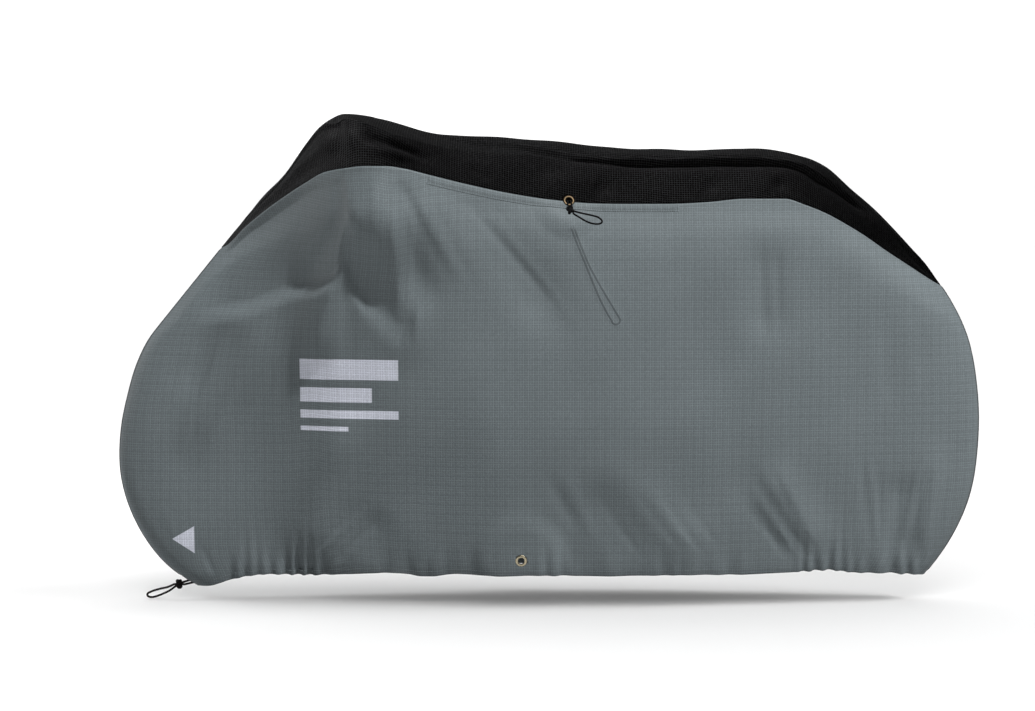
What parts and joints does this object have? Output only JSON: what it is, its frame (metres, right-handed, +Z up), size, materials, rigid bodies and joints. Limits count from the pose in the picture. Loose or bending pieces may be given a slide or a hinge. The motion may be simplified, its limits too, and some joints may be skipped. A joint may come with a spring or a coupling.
{
  "type": "bicycle cover",
  "caption": "Fitted cloth cover draped to its shape: grey ripstop sides, black top gusset, casing strip, brass eyelets and drawcords, open along the hem.",
  "frame": {"origin": "middle of the cover on the inner face of the top panel, in the middle plane, where what it covers holds it up", "axes": "+Z up, -X towards the front end with the hem cord, -Y towards the near side that carries the arrow"},
  "size_m": [1.9106, 0.5853, 1.076],
  "materials": {
    "near_side_cloth": "blue-grey ripstop, matt",
    "far_side_cloth": "blue-grey ripstop, matt",
    "gusset_cloth": "black ripstop with a faint grid, slight sheen",
    "casing_cloth": "blue-grey ripstop facing, topstitched",
    "near_hem_cloth": "blue-grey ripstop, matt",
    "far_hem_cloth": "blue-grey ripstop, matt",
    "top_brass": "antique brass, darkened",
    "near_brass": "antique brass, darkened",
    "far_brass": "antique brass, darkened",
    "top_knot": "black braided cord, knotted",
    "cord_black": "black braided cord",
    "hem_cord_dark": "dark braided cord"
  },
  "bodies": {
    "root": {"near_side_panel": "near_side_cloth", "far_side_panel": "far_side_cloth", "top_gusset": "gusset_cloth", "casing_strip": "casing_cloth", "near_hem_patch": "near_hem_cloth", "far_hem_patch": "far_hem_cloth", "top_eyelet": "top_brass", "near_hem_eyelet": "near_brass", "far_hem_eyelet": "far_brass", "top_cord_knot": "top_knot", "top_cord_loop": "cord_black", "inner_cord_loop": "cord_black", "front_cord_near": "hem_cord_dark", "front_cord_far": "hem_cord_dark", "front_cord_knot": "hem_cord_dark", "front_cord_loop": "hem_cord_dark"}
  },
  "joints": []
}
